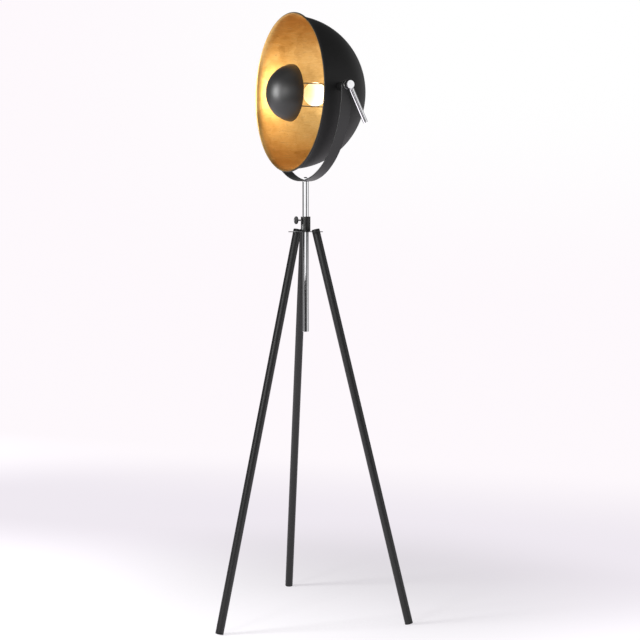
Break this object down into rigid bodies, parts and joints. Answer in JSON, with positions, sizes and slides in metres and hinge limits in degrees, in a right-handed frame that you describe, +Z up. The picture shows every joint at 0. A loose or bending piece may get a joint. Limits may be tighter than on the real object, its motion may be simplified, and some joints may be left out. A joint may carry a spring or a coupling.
{
  "type": "tripod floor lamp",
  "caption": "Tripod floor lamp with a domed studio shade, gilded inside, tilting in a half-round yoke on a sliding pole, with a small glare cap over the bulb.",
  "frame": {"origin": "on the floor, straight under the axis of the pole", "axes": "+Z up along the pole, -Y the way the shade faces at rest, X along the shade's tilting axis, with the clamping lever on the +X side"},
  "size_m": [0.5197, 0.485, 1.5527],
  "materials": {
    "black_paint": "satin",
    "black_shade": "matte",
    "chrome": "polished",
    "zinc": "satin",
    "gold_leaf": "satin",
    "black_plastic": "satin",
    "nylon": "matte",
    "rubber": "matte",
    "porcelain": "gloss",
    "brass": "satin",
    "frosted_glass": "satin"
  },
  "bodies": {
    "stand": {"hub_plate": "black_paint", "clamp_collar": "black_paint", "collar_bush": "nylon", "leg_1": "black_paint", "leg_2": "black_paint", "leg_3": "black_paint", "leg_plug_1": "black_plastic", "leg_plug_2": "black_plastic", "leg_plug_3": "black_plastic", "foot_1": "rubber", "foot_2": "rubber", "foot_3": "rubber"},
    "thumb_screw": {"thumb_screw": "zinc", "thumb_knob": "black_plastic"},
    "pole": {"pole_tube": "chrome", "pole_end_plug": "black_plastic", "pole_insert": "zinc", "yoke_stud": "zinc"},
    "yoke": {"yoke": "black_paint", "yoke_washer": "zinc", "yoke_nut": "chrome"},
    "head": {"pivot_seat_lever_side": "zinc", "pivot_boss_lever_side": "black_paint", "pivot_bolt_lever_side": "zinc", "pivot_washer_lever_side": "zinc", "pivot_seat_nut_side": "zinc", "pivot_boss_nut_side": "black_paint", "pivot_bolt_nut_side": "zinc", "pivot_washer_nut_side": "zinc", "lever_sleeve": "black_plastic", "pivot_dome_nut": "chrome", "shade_shell": "black_shade", "shade_liner": "gold_leaf", "rear_cover": "black_shade", "cord_gland": "black_plastic", "rear_screw_1": "zinc", "rear_screw_2": "zinc", "terminal_block": "nylon", "nipple": "zinc", "nipple_nut_rear": "zinc", "nipple_nut_front": "zinc", "lampholder_body": "porcelain", "lampholder_ring": "black_plastic", "lampholder_screw_shell": "brass", "lampholder_contact": "brass", "bulb_glass": "frosted_glass", "bulb_base": "brass", "bulb_contact": "brass", "rod_plate": "zinc", "rod_1": "zinc", "rod_2": "zinc", "rod_3": "zinc", "rod_nut_1": "zinc", "rod_nut_2": "zinc", "rod_nut_3": "zinc", "glare_cap": "black_shade", "glare_cap_spider": "zinc"},
    "lever": {"lever_hub": "chrome", "lever_rod": "chrome"}
  },
  "joints": [
    {"name": "pole_height", "type": "slide", "parent": "stand", "child": "pole", "axis": [0, 0, 1], "range_m": [-0.085, 0.24]},
    {"name": "thumb_screw_turn", "type": "hinge", "parent": "stand", "child": "thumb_screw", "pos_m": [0, -0.0173, 1.0295], "axis": [0, -1, 0], "range_deg": [-180, 180]},
    {"name": "head_pan", "type": "hinge", "parent": "pole", "child": "yoke", "pos_m": [0, 0, 1.1293], "axis": [0, 0, 1], "continuous": true},
    {"name": "head_tilt", "type": "hinge", "parent": "yoke", "child": "head", "pos_m": [0, 0, 1.35232], "axis": [1, 0, 0], "range_deg": [-90, 90]},
    {"name": "tilt_lever", "type": "hinge", "parent": "head", "child": "lever", "pos_m": [0.2352, 0, 1.35232], "axis": [1, 0, 0], "range_deg": [-30, 90]}
  ]
}
